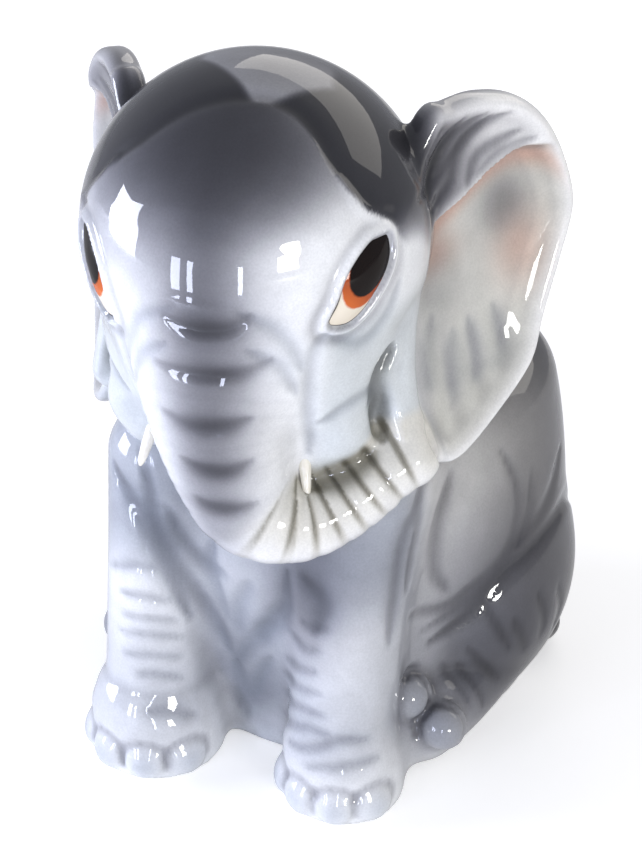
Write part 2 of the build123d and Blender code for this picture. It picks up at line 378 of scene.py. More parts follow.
# Body: an upright barrel with a chest, haunches, legs and tail, hollow with an open base.
bodyBlock = ((-70, -70, -4), (70, 76, 122))
torso = dict(
    profile=((0, 0.86, 0.92, 0), (0.29, 1, 1.01, 0.02), (0.61, 1, 1, 0.02), (0.84, 0.94, 0.94, 0.04),
             (1, 0.86, 0.84, 0.06)),
    height=98.0, halfWidth=53.0, halfDepth=48.0, x0=0.0, y0=18.0, topRounding=9.0,
)
chest = dict(
    profile=((0, 0.88, 0.68, 0.06), (0.26, 1, 0.86, 0.03), (0.52, 1, 1, 0), (0.78, 0.89, 0.86, -0.06),
             (1, 0.66, 0.72, -0.2)),
    height=116.0, halfWidth=38.0, halfDepth=31.0, x0=-2.0, y0=-16.0, topRounding=6.0,
)
haunch = dict(centre=(37.5, 17.0, 36.0), radii=(20.5, 30.0, 31.0))
shinRoute = (
    ((35.0, 22.0, 25.0), 18.0),
    ((36.0, 6.0, 16.0), 14.5),
    ((35.0, -6.0, 14.0), 13.8),
    ((34.0, -15.0, 13.0), 13.0),
    ((33.5, -21.0, 12.5), 12.0),
)
forelegs = dict(left=(22.0, -40.0, 1.0, 15.6), right=(-29.5, -45.0, 0.957, 17.4))
forelegRoute = (((0, 10, 82), 15.5), ((0, 6, 68), 14.0), ((0, 2, 45), 13.3), ((0, 0, 21), 14.3))
tailRoute = (
    ((2.0, 60.0, 52.0), 4.2),
    ((6.5, 67.5, 29.0), 3.8),
    ((20.0, 62.0, 10.0), 3.6),
    ((34.0, 51.0, 5.0), 3.8),
    ((43.5, 41.0, 6.5), 5.8),
    ((47.0, 33.5, 8.0), 3.2),
)
toes = dict(angles=(-57.0, -19.0, 19.0, 57.0), radii=(5.6, 3.4, 5.2), height=5.6)
hindToes = (((33.2, -27.6, 23.8), 6.5), ((42.8, -26.2, 16.2), 6.2))
splayedToe = ((-49.5, -28.5, 19.0), 6.4)

# Creases drawn with a wooden tool: width, depth, how much grey stays in them, and where they run.
legCreases = (
    (1.5, 0.5, 0.5, ((-38, -51, 55.5), (-29, -54, 59.5), (-23.5, -52.5, 59))),
    (1.5, 0.55, 0.5, ((-33.5, -54.5, 51), (-25.5, -54, 51.5), (-20, -51, 49.5))),
    (1.4, 0.5, 0.4, ((-33, -55, 45), (-24.5, -54.5, 45.5), (-19, -50, 44))),
    (1.5, 0.5, 0.4, ((-33, -56, 40), (-24.5, -55, 41), (-18.5, -50, 39))),
    (1.5, 0.45, 0.35, ((-32.5, -56.5, 34), (-24, -55.5, 35), (-18, -50.5, 33))),
    (1.6, 0.5, 0.4, ((-28.5, -57.5, 29), (-23, -55.5, 29.5), (-18, -51, 27))),
    (2.4, 0.6, 0.6, ((-24.5, -58.5, 19.5), (-18.5, -56, 20), (-14, -51.5, 16.5))),
    (1.5, 0.5, 0.5, ((13.5, -48, 53.5), (18, -49.5, 53), (23, -50, 55))),
    (1.5, 0.5, 0.4, ((9.5, -45.5, 47.5), (15, -49.5, 46.5), (21.5, -51, 49))),
    (1.6, 0.55, 0.5, ((8, -44.5, 37.5), (14.5, -49.5, 40), (20, -51.5, 42.5))),
    (1.6, 0.55, 0.5, ((6.5, -42, 31), (13.5, -50, 34.5), (21.5, -52.5, 37))),
    (1.7, 0.6, 0.55, ((5.5, -40.5, 23), (15.5, -51.5, 30), (23.5, -53, 31))),
    (1.7, 0.6, 0.5, ((4, -38, 14), (16, -52.5, 25), (24.5, -53.5, 26.5))),
    (1.8, 0.6, 0.6, ((11, -50.5, 17.5), (19.5, -54.5, 20.5), (27, -53, 25), (33, -48.5, 24.5))),
    (1.8, 0.55, 0.6, ((18, -55.5, 15.5), (28.5, -53.5, 18), (35, -47, 18.5))),
)
chestFolds = (
    (2.8, 1.0, 0.7, ((-37.5, -47.5, 83), (-29, -51, 75), (-23, -51.5, 62.5), (-17.5, -47.5, 44))),
    (2.4, 0.9, 0.7, ((-28.5, -48, 89.5), (-24.5, -50.5, 74), (-19, -49, 58.5),
                     (-12, -43.5, 41), (-10, -41.5, 32))),
    (2.0, 0.8, 0.6, ((-22, -49, 76), (-18.5, -47.5, 66.5), (-11.5, -46, 56), (-8.5, -45, 45))),
    (1.8, 0.8, 0.5, ((-11, -46, 68), (-12, -46, 60.5), (-7, -46.5, 58.5))),
    (2.2, 0.9, 0.6, ((-0.5, -47, 59), (-4, -46, 50.5), (-6, -44.5, 41.5))),
    (2.2, 0.9, 0.6, ((8.5, -46, 55.5), (3, -45, 46), (1, -44, 39.5))),
    (2.4, 0.9, 0.5, ((2.5, -43, 35), (-6.5, -37.5, 15.5), (-9, -35.5, 6.5))),
    (2.4, 0.9, 0.6, ((9.5, -46.5, 65.5), (8, -46, 51.5), (-0.5, -44.5, 41.5), (-9.5, -40.5, 27))),
    (2.0, 0.7, 0.4, ((-8, -41, 29), (-10.5, -36.5, 10))),
    # the last, widest row darkens the inner side of the left foreleg by the chest with painted shade
    (3.2, 0.7, 0.9, ((14, -47, 65.5), (20.5, -49, 61), (18.5, -50, 52.5))),
)
flankFolds = (
    (2.4, 0.9, 0.7, ((36, -28, 88.5), (36, -36.5, 79), (35, -40, 62), (34.5, -42, 49.5))),
    (2.2, 0.9, 0.6, ((35, -13.5, 88.5), (36.5, -29.5, 86.5), (36.5, -32.5, 74), (35.5, -35, 61))),
    (2.2, 0.8, 0.5, ((37, -14, 82.5), (36.5, -20.5, 72), (37, -22, 59.5), (39, -18.5, 52))),
    (2.2, 0.9, 0.7, ((44, 0, 83.5), (48, 2.5, 72), (48.5, -1, 59), (44.5, -10, 51),
                     (39, -19, 47), (35, -31, 50.5))),
    (2.0, 0.8, 0.6, ((49.5, 8, 75), (50.5, 5, 63), (48.5, -4.5, 53), (42.5, -13, 45.5),
                     (36, -24.5, 42.5))),
    (2.4, 0.7, 0.7, ((51, 25, 72.5), (52.5, 14, 63.5), (50, 0, 57))),
    (2.6, 1.3, 1.0, ((52.5, 40, 50), (53.5, 27, 57.5), (53, 6.5, 55), (49, -5, 50.5),
                     (43, -13.5, 41.5), (37, -22.5, 37.5))),
)
thighCreases = (
    (1.5, 0.6, 0.7, ((52, -4.5, 38.5), (53, -2, 32.5), (53.5, 2.5, 24))),
    (1.5, 0.6, 0.7, ((46, -10, 44.5), (48.5, -8.5, 38.5), (51.5, -3.5, 27.5))),
    (1.5, 0.6, 0.6, ((43, -13, 32), (46, -9, 25), (49, -4.5, 18))),
    (1.5, 0.6, 0.6, ((41, -14.5, 27), (45.5, -13, 21), (48, -11.5, 13.5))),
    (1.5, 0.6, 0.6, ((55, 3, 43.5), (56.5, 6, 33.5), (55.5, 7, 26.5))),
    (1.5, 0.6, 0.6, ((57, 12, 40), (57.5, 15, 32), (56.5, 15, 24))),
    (1.6, 0.5, 0.5, ((38, -19, 29.5), (41.5, -17, 23.5), (46, -16.5, 16))),
)


def pressCreases(clay, rows, sides=(1,), **extra):
    for width, depth, grey, points in rows:
        for side in sides:
            clay.stroke([mirrored(p, side) for p in points], width, depth, grey=0.5 * grey, **extra)


def toe(clay, centre, radii, outward, depth=0.6, grey=0.16):
    # A nail: a flattened bead with a cuticle groove round its upper half.
    outward = np.array(outward) / np.linalg.norm(outward)
    across = np.cross([0, 0, 1.0], outward)
    across /= np.linalg.norm(across)
    upward = np.cross(outward, across)
    clay.add(ball(centre, radii, np.stack([across, outward, upward], 1)), 0.8)
    arc = [
        centre + across * radii[0] * 1.12 * math.cos(a) + upward * radii[2] * 1.12 * math.sin(a)
        + outward * radii[1] * 0.35
        for a in np.radians(np.arange(-15, 196, 30))
    ]
    clay.stroke(arc, 0.9, depth, grey=grey, even=True)


def modelBody():
    clay = Clay(*bodyBlock, bodyVoxel)
    clay.add(column(**torso))
    clay.add(column(**chest), 12.0)
    # the belly swells out between the folds of the flank
    for side in (1, -1):
        clay.swell(mirrored((44, -12, 68), side), (9, 15, 21), 2.2)
        clay.add(ball(mirrored(haunch["centre"], side), haunch["radii"]), 5.0)
        clay.add(limb([(mirrored(p, side), r) for p, r in shinRoute]), 2.5)
    for x, y, size, sole in forelegs.values():
        route = [((x + p[0], y + p[1], p[2]), r * size) for p, r in forelegRoute]
        route += [((x, y - 1.0, 10.0), sole), ((x, y - 1.0, -3.0), sole)]
        clay.add(limb(route), 7.0)
    # the left leg draws in above its foot
    clay.swell((38, -40, 25), (6, 12, 11), -2.0)
    clay.add(limb(tailRoute), 1.5)
    for x, y, _, sole in forelegs.values():
        for angle in np.radians(toes["angles"]):
            outward = np.array([math.sin(angle), -math.cos(angle), 0.0])
            centre = np.array([x, y - 1.0, toes["height"]]) + outward * (sole - 1.5)
            toe(clay, centre, toes["radii"], outward + (0, 0, 0.25))
            clay.spray(centre + outward * 2.5, (4, 4, 4), grey=0.2, blue=0.2)
    for side in (1, -1):
        for place, radius in hindToes:
            centre = np.array(mirrored(place, side))
            toe(clay, centre, (radius,) * 3, (side * 0.35, -0.85, 0.4), 1.3, 0.55)
    place, radius = splayedToe
    toe(clay, np.array(place), (radius,) * 3, (-0.6, -0.7, 0.3), 1.0, 0.3)
    pressCreases(clay, legCreases, blue=0.1)
    pressCreases(clay, chestFolds, blue=0.25)
    pressCreases(clay, flankFolds, (1, -1))
    pressCreases(clay, thighCreases, (1, -1))
    # the tuft at the tail's end is dark
    clay.spray((45.5, 37, 8), (9, 9, 9), grey=2.4, umber=0.8)
    print("body modelled")
    return clay


def hollowBody(clay):
    clay.cut(column(**torso, inset=wall), 0.5)
    clay.cut(column(**chest, inset=wall), 0.5)
    part, x, y, z = clay.window(np.array([-68, -68, -4]), np.array([68, 74, 4]))
    clay.distance[part] = softMax(clay.distance[part], -z, 1.6)
    middle, half = (slotLow + slotHigh) / 2, (slotHigh - slotLow) / 2

    def slot(x, y, z):
        run = np.maximum(np.abs(x - middle[0]) - half[0] + 0.4, 0)
        return np.maximum(np.sqrt(run**2 + (y - middle[1]) ** 2) - half[1] - 0.3, slotLow[2] - 4 - z)

    clay.cut((slot, slotLow - 6, slotHigh + 6), 2.2)


def paintBody(points, amounts, hollowPoolAndShade):
    # Airbrushed greys: a back darkened by stain and by painted shade, grey haunches, a bluish chest, and
    # forelegs left nearly white.
    x, y, z = points.T
    side = np.where(x >= 0, 1.0, -1.0)
    back = ramp(y, -42, 12)
    # stain and painted shade: darker towards the back, and more so higher up
    backStainAndShade = 1.1 * back + 1.1 * ramp(y, 8, 40) * (0.6 + 0.4 * ramp(z, 20, 80))
    haunchNear = spot((x, y, z), (side * 44, 8, 30), (22.4, 38, 29.1))
    legWidth = 15 + 8 * (1 - ramp(z, 10, 26))
    legs = sum(
        np.exp(-(((x - a) ** 2 + (y - b) ** 2) / legWidth**2) ** 2) for a, b, _, _ in forelegs.values()
    )
    front = ramp(-y, 22, 40) * np.clip(1 - legs * (1 - ramp(z, 50, 74)), 0, 1)
    front = front * (1 - 0.5 * spot((x, z), (-5, 56), (13, 15)))
    # painted highlight: a paler patch on the belly, above its swell
    bellyHighlight = spot((x, y, z), (side * 45, -8, 84), (14, 16, 14))
    # painted shade on the inner side of the left foreleg, where it meets the chest
    innerLegShade = spot((x, y, z), (15, -47, 61), (9, 12, 17))
    shoulder = spot((x, y), (20, -50), (13, 14)) * ramp(z, 40, 60)
    # painted highlight: less grey on the outer sides at the front
    outerSideHighlight = ramp(side * x - 4, 10, 24) * ramp(-y, 30, 50)
    grey = 0.14 + backStainAndShade + 0.62 * haunchNear + 0.72 * front * (1 - 0.3 * ramp(z, 60, 100))
    grey = grey + 0.9 * innerLegShade + 0.25 * shoulder - 0.45 * bellyHighlight - 0.1 * outerSideHighlight * (1 - haunchNear)
    # the soles and the joints of the toes stay pale
    grey = grey * (0.35 + 0.65 * ramp(z, 0, 16) + 0.65 * haunchNear)
    # pooled stain and painted shade: greyer in hollows and creases
    inHollows = np.clip(hollowPoolAndShade - 0.02, -0.1, 0.5)
    inCreases = np.clip(hollowPoolAndShade - 0.08, 0, 0.6)
    amounts["grey"] = 0.8 * amounts["grey"] + np.clip(grey, 0.02, None) + inHollows
    amounts["blue"] = amounts["blue"] + 0.4 * front + 0.25 * haunchNear * ramp(-y, -10, 20) + 0.04
    amounts["umber"] = amounts["umber"] + back * (
        0.4 * np.clip(1 - 1.2 * haunchNear, 0, 1) + 0.5 * inCreases
    )


bodyClay = modelBody()
hollowBody(bodyClay)

# Head: ball, cheeks and jaws, curled trunk, and cupped ears.
trunkRoute = (
    ((0.0, -10.0, 0.0), 29.0),
    ((0.0, -20.0, -15.0), 22.5),
    ((0.5, -26.0, -32.0), 16.5),
    ((3.0, -27.0, -46.0), 13.8),
    ((7.0, -26.5, -56.0), 12.0),
    ((14.0, -25.0, -60.5), 10.0),
    ((21.0, -21.0, -61.0), 8.6),
    ((28.0, -16.0, -57.5), 7.8),
    ((36.0, -10.0, -51.0), 7.0),
    ((39.6, -7.5, -48.8), 7.1),
)
curl = dict(start=53.0, end=103.0, pitch=5.2, depth=1.7)
jaws = (
    ((15.5, -8, -29), (18, 18, 18), 8.0),
    ((21, -11, -43), (10, 11, 11), 3.5),
    ((25, -14.5, -39.5), (7, 7.5, 9), 1.6),
)
earWeb = (((32, 0, -16), 6.0), ((33.5, -3.5, -28), 5.5), ((36, -5, -40), 5.0))
ear = dict(
    thickness=6.0, ballRadius=140.0, setback=3.4, cupOut=22.0, cupUp=2.0,
    rootSpread=34.0, rootBack=5.0, sweep=54.0,
    outline=(
        (5, 27), (12, 28.5), (21, 29), (32, 26), (41, 18), (47.5, 8), (50.5, -4),
        (47, -17), (41.5, -30), (36, -41), (23, -50.5), (10, -56), (2, -54), (-2, -46),
        (-6, -20), (-8, 8),
    ),
    foldEdge=((-12, -2), (0, 0), (8, 1.5), (16, 4.6), (24, 10), (31, 13.4), (36, 13.8), (42, 12.4), (50, 6)),
)
eyes = dict(
    outline=(
        (10.9, -0.1), (8.2, 3.2), (4.2, 4.7), (-1.3, 5.1), (-6.9, 5), (-10.9, 3.2), (-12.7, -1.2),
        (-7.3, -3.2), (-2.1, -4.9), (3.5, -4.8), (8.3, -3.1),
    ),
    places={1: ((32.9, -21.8, 2.1), 56.5, 3.0), -1: ((-26.4, -29.3, -0.7), 42.0, -1.0)},
    tilt=42.0, bulge=1.0,
)
faceAzimuth = 6.0
headBlock = (headCentre - (76, 52, 74), headCentre + (68, 60, 44))
domeEdge = (
    (-71.5, -23), (-54, -25.5), (-29.5, -25.5), (-9, -21), (3.5, -18), (14, -16), (24, -16),
    (33, -17.5), (42.5, -19.5), (54, -20), (64, -18.5), (70.5, -14), (90, -8),
)


def acrossFace(point, side):
    # The same place on the other side of the face.
    if side == 1:
        return np.array(point, float)
    turn = turnZ(faceAzimuth)
    return turn @ np.diag([-1.0, 1.0, 1.0]) @ turn.T @ np.array(point, float)


def earAxes(side):
    lean = math.radians(ear["sweep"])
    root = inHead(side * ear["rootSpread"], ear["rootBack"], 0)
    outward = headTurn @ np.array([side * math.cos(lean), math.sin(lean), 0.0])
    facing = headTurn @ np.array([side * math.sin(lean), -math.cos(lean), 0.0])
    return root, outward, np.array([0.0, 0.0, 1.0]), facing


def eyeAxes(side):
    place, azimuth, elevation = eyes["places"][side]
    a, e, t = (math.radians(v) for v in (azimuth, elevation, eyes["tilt"]))
    facing = np.array([side * math.sin(a) * math.cos(e), -math.cos(a) * math.cos(e), math.sin(e)])
    level = np.array([side * math.cos(a), math.sin(a), 0.0])
    upward = side * np.cross(level, facing)
    upward *= np.sign(upward[2])
    along = math.cos(t) * upward + math.sin(t) * level
    across = math.cos(t) * level - math.sin(t) * upward
    return inHead(*place), headTurn @ along, headTurn @ across, headTurn @ facing


def outlineDistance(outline, u, v, low=(-30, -75), high=(66, 55), step=1.0):
    # Distance to the closed outline, on a coarse grid and read off smoothly; negative inside.
    gridU, gridV = np.arange(low[0], high[0], step), np.arange(low[1], high[1], step)
    gu, gv = np.meshgrid(gridU, gridV, indexing="ij")
    points = closedCurve(outline, 6)
    nearest, inside = np.full(gu.shape, 1e9), np.zeros(gu.shape, bool)
    for a, b in zip(points, np.roll(points, -1, axis=0)):
        run = b - a
        t = np.clip(((gu - a[0]) * run[0] + (gv - a[1]) * run[1]) / max(run @ run, 1e-9), 0, 1)
        nearest = np.minimum(nearest, np.hypot(gu - a[0] - t * run[0], gv - a[1] - t * run[1]))
        rises = (a[1] > gv) != (b[1] > gv)
        crossing = a[0] + (gv - a[1]) * run[0] / (run[1] if abs(run[1]) > 1e-9 else 1e-9)
        inside ^= rises & (gu < crossing)
    signed = np.where(inside, -nearest, nearest)
    pu = np.clip((u - gridU[0]) / step, 0, len(gridU) - 1.001)
    pv = np.clip((v - gridV[0]) / step, 0, len(gridV) - 1.001)
    i, j = pu.astype(int), pv.astype(int)
    fu, fv = pu - i, pv - j
    return (
        signed[i, j] * (1 - fu) * (1 - fv) + signed[i + 1, j] * fu * (1 - fv)
        + signed[i, j + 1] * (1 - fu) * fv + signed[i + 1, j + 1] * fu * fv
    )


foldPlaces = curveThrough(ear["foldEdge"], 8)


def earRelief(u, v):
    # How far the ear's front stands off a plain cup, with its folded flap, rolled rim, deepened middle
    # and pleated lobe, and how far a place is from the outline and above the fold's edge.
    edge = outlineDistance(ear["outline"], u, v)
    above = v - np.interp(u, foldPlaces[:, 0], foldPlaces[:, 1])
    flap = ramp(above, -0.9, 0.7)
    reachesRim = 1 - ramp(u, 36, 47)
    relief = 3.2 * flap * reachesRim * np.exp(-np.clip(above, 0, None) / 16)
    relief = relief + 1.3 * np.exp(-(((edge + 2.6) / 2.2) ** 2))
    relief = relief - 1.9 * np.clip(-edge / 10, 0, 1) * (1 - 0.6 * flap)
    pleats = ramp(-v, 22, 34) * np.cos(u * 0.72 + 0.9 + 0.02 * v) * 0.35 * ramp(-edge, 2, 8)
    return relief + pleats, edge, above


def cupHeight(u, v, radius):
    # How far a ball of this radius, round the middle that the ear's ball has, stands off the ear's plane.
    spread = np.minimum((u - ear["cupOut"]) ** 2 + (v - ear["cupUp"]) ** 2, 70.0**2)
    return ear["ballRadius"] - ear["thickness"] - ear["setback"] - np.sqrt(radius**2 - spread)


def earShape(side):
    root, *axes = earAxes(side)

    def distance(x, y, z):
        u, v, w = localPlaces(x, y, z, root, axes)
        relief, edge, _ = earRelief(u, v)
        front = cupHeight(u, v, ear["ballRadius"] - ear["thickness"]) + relief
        back = cupHeight(u, v, ear["ballRadius"])
        return softMax(softMax(w - front, back - w, 1.5), edge, 3.0)

    reach = 64.0
    return distance, root - reach, root + reach


def curlRelief(along):
    # Rings round the curled end of the trunk, fading in and out.
    t = np.clip((along - curl["start"]) / (curl["end"] - curl["start"]), 0, 1)
    fade = np.clip(np.minimum(t * 5, (1 - t) * 9), 0, 1)
    ring = np.cos(2 * math.pi * (along - curl["start"]) / curl["pitch"])
    return curl["depth"] * fade * (0.3 - (0.5 - 0.5 * ring) ** 3)


# Modelled face: width, depth, grey, and the way each crease runs, in the head's own frame.
trunkCreases = (
    (2.0, 0.55, 0.3, ((-4.5, -42, -3.5), (2, -42, -5.5), (9, -41, -5), (14, -39.5, -2))),
    (2.1, 0.65, 0.35, ((-7, -41.5, -15), (3, -42.5, -16), (11.5, -40, -15.5), (17.5, -37, -13.5))),
    (2.1, 0.65, 0.4, ((-6, -42, -27), (1.5, -42.5, -29), (8.5, -41, -28.5), (13, -38, -27.5))),
    (2.0, 0.6, 0.45, ((-2, -42, -38), (4, -41.5, -40), (8, -40.5, -40.5), (13, -37.5, -38.5))),
    (1.9, 0.55, 0.3, ((0, -40.5, -48.5), (4, -40, -50), (8, -39.5, -50.5), (13, -36.5, -49.5))),
)
muzzleCreases = (
    (2.0, 0.5, 0.18, ((11.5, -39.5, -1.5), (18, -36.5, -5.5), (21, -33.5, -11.5), (22.5, -31, -18))),
    (1.8, 0.5, 0.18, ((13, -39.5, -10), (18.5, -35, -15), (20.5, -30, -24))),
    (2.0, 0.75, 0.1, ((27, -29, -8.5), (24.5, -30, -13.5), (22, -27, -26), (20, -21, -42.5))),
    (2.2, 0.5, 0.3, ((27, -29, -9.5), (32, -20.5, -14.5), (36, -15.5, -9.5), (38, -13, -2))),
)
jawGroove = ((34, -8, -20.5), (33.5, -12.5, -26.5), (33, -11.5, -35), (35.5, -14, -40.5))
jawTop = ((20.5, -18, -32.5), (23, -15.5, -30), (26.5, -13.5, -29), (30.5, -13, -30), (33.5, -13.5, -33))
curlPocketShade = ((21, -24, -50.5), (27, -19.5, -49), (33, -14.5, -45))
browRidge = ((26.5, -19.5, 23), (30.5, -19, 17.5), (34, -16, 13.5), (37, -11, 10))
earStreaks = (
    ((22.5, 23), (15.5, 17.5), (12, 9), (1.5, 4)),
    ((15, 24.5), (10.5, 18.5), (6.5, 12), (-6, 10)),
    ((31, 18.5), (20.5, 15), (17.5, 7.5)),
    ((27.5, 23.5), (17.5, 20), (9, 12), (0, 8)),
    ((11, 21), (7, 13), (3, 4), (-1, -6)),
    ((21, 24), (12, 20), (7, 13), (1, 6)),
    ((6, 6), (3.5, -4), (3, -14)),
    ((10, 5), (7.5, -5), (7, -16)),
    ((35, 16), (26, 14), (20, 10)),
)
lobePleats = (
    ((18, -44.5), (21.5, -36), (20.5, -26.5)),
    ((7, -43), (7, -33.5), (9.5, -23)),
    ((25, -43), (29.5, -35), (28, -25)),
    ((-5, -41), (-2.5, -32.5), (3, -24)),
    ((13, -48), (14.5, -38), (15.5, -28)),
)


def quadratic(a, c):
    return np.ones_like(a), a, c, a * a, a * c, c * c


def onSurface(heights, a, c):
    return sum(height * term for height, term in zip(heights, quadratic(a, c)))


def eyeSurface(clay, side):
    # A smooth rounded surface through the clay under the eye: its heights over the eye's plane.
    centre, along, across, facing = eyeAxes(side)
    a, c = np.meshgrid(np.linspace(-12, 11, 12), np.linspace(-5, 5, 6), indexing="ij")
    a, c = a.ravel(), c.ravel()
    starts = centre + np.outer(a, along) + np.outer(c, across) + 12 * facing
    heights = (clay.land(starts, -facing, 30.0) - centre) @ facing
    return np.linalg.lstsq(np.stack(quadratic(a, c), 1), heights, rcond=None)[0]


def setEye(clay, side, heights):
    # The socket is pressed in, and a raised lid runs round it with a crease outside.
    centre, *axes = eyeAxes(side)
    part, x, y, z = clay.window(centre - 20, centre + 20)
    a, c, n = localPlaces(x, y, z, centre, axes)
    edge = outlineDistance(eyes["outline"], a, c, (-20, -20), (20, 20), 0.5)
    near = np.exp(-(((n - onSurface(heights, a, c)) / 6) ** 4))
    press = 1.3 * (1 - ramp(edge, -1.3, 0.1)) - 0.8 * np.exp(-(((edge - 0.9) / 0.8) ** 2))
    press = press + 0.35 * np.exp(-(((edge - 3.0) / 1.1) ** 2))
    clay.distance[part] += near * press
    # painted shade in the crease outside the lid, stronger on the outer side
    outer = ramp(-a + 1.2 * c, -6, 6)
    clay.tones["grey"][part] += near * 0.3 * np.exp(-(((edge - 3.6) / 1.5) ** 2)) * (0.4 + 0.6 * outer)
    clay.tones["grey"][part] += near * 0.9 * np.exp(-(((edge - 0.1) / 0.5) ** 2))


def onHead(points, side=1, across=mirrored):
    # A crease's points, on the figure's left (1) or on its right (-1).
    return [inHead(*across(point, side)) for point in points]


def modelHead():
    clay = Clay(*headBlock, headVoxel)
    clay.add(ball(headCentre, (headRadius,) * 3))
    for side in (1, -1):
        for centre, radii, blend in jaws:
            clay.add(ball(inHead(*mirrored(centre, side)), radii), blend)
        clay.add(earShape(side), 3.0)
        clay.add(limb([(inHead(*mirrored(p, side)), r) for p, r in earWeb]), 3.0)
    clay.add(limb([(inHead(*p), r) for p, r in trunkRoute], curlRelief), 7.0)
    # the trunk's tip is hollow
    tip, before = (inHead(*p) for p, _ in trunkRoute[:-3:-1])
    outward = (tip - before) / np.linalg.norm(tip - before)
    clay.cut(ball(tip + outward * 10.5, (6.6,) * 3), 1.0)
    # the forehead stands proud of the crown along a soft edge
    clay.swell(inHead(3, -36, 12), (34, 16, 27), 0.9)
    edge = []
    for angle, y in domeEdge[:-1]:
        out, roll = math.sqrt(headRadius**2 - y * y), math.radians(angle)
        edge.append(inHead(out * math.sin(roll), y + 2.0, out * math.cos(roll)))
    clay.stroke(edge, 2.0, 0.55, even=True)
    surfaces = {side: eyeSurface(clay, side) for side in (1, -1)}
    for side in (1, -1):
        setEye(clay, side, surfaces[side])
        clay.stroke(onHead(browRidge, side, acrossFace), 1.8, -0.7)
        for width, depth, grey, points in muzzleCreases:
            clay.stroke(onHead(points, side, acrossFace), width, depth, grey=0.6 * grey, blue=0.3)
        # painted shade in the narrow gap between the jaw and the ear
        clay.stroke(onHead(jawGroove, side), 2.1, 1.8, grey=0.7, umber=0.5, blue=0.3)
        clay.stroke(onHead(np.add(jawGroove, (4.2, 0, 0.5)), side), 1.8, -1.1)
        clay.stroke(onHead(jawTop, side), 1.8, 0.7, grey=0.22, blue=0.2)
        root, outward, upward, facing = earAxes(side)
        for points in earStreaks:
            streak = [root + outward * u + upward * v + facing * 1.5 for u, v in points]
            clay.stroke(streak, 1.4, 0.6, grey=0.75)
        for points in lobePleats:
            pleat = [root + outward * u + upward * v for u, v in points]
            clay.stroke(pleat, 2.6, 0.25, grey=0.2, blue=0.2)
    # painted shade in the pocket between the jaw and the curl
    clay.stroke(onHead(curlPocketShade), 2.6, 1.5, grey=0.8, umber=1.0, blue=0.3)
    for width, depth, grey, points in trunkCreases:
        clay.stroke(onHead(points), width, depth, grey=grey)
        middle = (np.array(points[1]) + points[2]) / 2
        clay.spray(inHead(*middle), (7.5, 7.0, 2.8), grey=0.85)
    print("head modelled")
    return clay, surfaces


def alongRoute(points, route):
    # How far along the route each point lies, how far from it, and the route's height there.
    route = curveThrough(route, 4)
    runs = np.diff(route, axis=0)
    lengths = np.linalg.norm(runs, axis=1)
    starts = np.concatenate([[0.0], np.cumsum(lengths)])
    nearest, place = np.full(len(points), 1e9), np.zeros(len(points))
    for i, run in enumerate(runs):
        t, gap = gapTo(*points.T, route[i], run)
        place = np.where(gap < nearest, starts[i] + t * lengths[i], place)
        nearest = np.minimum(nearest, gap)
    return place, np.sqrt(nearest), np.interp(place, starts, route[:, 2])


def crownStainAndReflection(x, y, z, behind):
    # Dark grey behind the forehead's edge, partly stain and partly a painted reflection of a dark room, with
    # a pale stripe down its middle that is a painted reflection.
    roll = np.degrees(np.arctan2(x, z))
    stripeMiddle, stripeHalf = 12.0 - 0.45 * (y + 16), 3.2 + 1.4 * np.clip(y + 16, 0, 14)
    stripe = (1 - ramp(np.abs(roll - stripeMiddle) - stripeHalf, -2.5, 2.5)) * (1 - ramp(y, 0, 20))
    rear = ramp(y, -8, 22)
    fall = ramp(z, 4 - 30 * rear, 16 + 6 * rear)
    return 3.1 * behind * fall * (1 - 0.72 * stripe) * (0.4 + 0.6 * ramp(-y, -38, 4))


def faceStainAndShade(azimuth, z, behind):
    # Grey from the top of the forehead, fading towards the eyes, and a grey middle above the trunk; the grey
    # reaches lower on the figure's right side, which is painted shade.
    width = np.where(azimuth < -6, 30 + 32 * ramp(z, -6, 12), 22 + 38 * ramp(z, 8, 30))
    forehead = np.exp(-((np.abs(azimuth + 6) / width) ** 2.4)) * ramp(z, -8, 30)
    middle = spot((azimuth,), (-1,), (10,)) * ramp(z, -16, 0) * (1 - ramp(z, 14, 30))
    return (1 - behind) * (0.6 * middle + forehead * (1.6 + 1.1 * ramp(z, 2, 32)))


def earStain(points, side):
    # A flap that is dark at its root, a pale cup with pink round its edge, and a grey back; the
    # figure's right ear is darker all over its front, which is painted shade.
    rightEarShade = 1.0 if side < 0 else 0.0
    root, *axes = earAxes(side)
    u, v, w = localPlaces(*points.T, root, axes)
    _, edge, above = earRelief(u, v)
    front = ramp(w - cupHeight(u, v, ear["ballRadius"] - ear["thickness"]), -3.5, -1.5)
    flap = ramp(above, -0.6, 0.8)
    # painted highlight: the rolled rim is kept pale
    rim = spot((edge,), (-1.5,), (2.6,))
    flapGrey = 0.15 + 0.9 * rightEarShade + 2.1 * (1 - ramp(u, 0, 27)) * flap
    flapGrey = flapGrey * (1 - 0.75 * ramp(-above, -4, 0))
    cupGrey = 0.03 + 0.85 * spot((u, v), (31.4, -0.5), (7, 7.5)) + 0.45 * spot((u, v), (10, -16), (9, 12))
    cupGrey = cupGrey + 0.1 * ramp(-v, 24, 40)
    frontGrey = (flapGrey * flap + cupGrey * (1 - flap)) * (1 - 0.8 * rim) + 0.4 * rightEarShade
    backGrey = 1.0 - 0.35 * ramp(-v, 0, 50) - 0.5 * rim
    pink = spot((above,), (-3,), (3.2,)) * ramp(u, 3, 12)
    pink = pink + 0.8 * spot((u, v), (36, -12), (7, 9)) + 0.9 * spot((u, v), (10, -8), (7, 5))
    inCup = front * (1 - flap) * (1 - rim)
    return ramp(u, 1, 8), dict(
        grey=front * frontGrey + (1 - front) * backGrey, umber=0.4 * inCup, blue=0.12 * inCup,
        blush=0.75 * pink * inCup,
    )


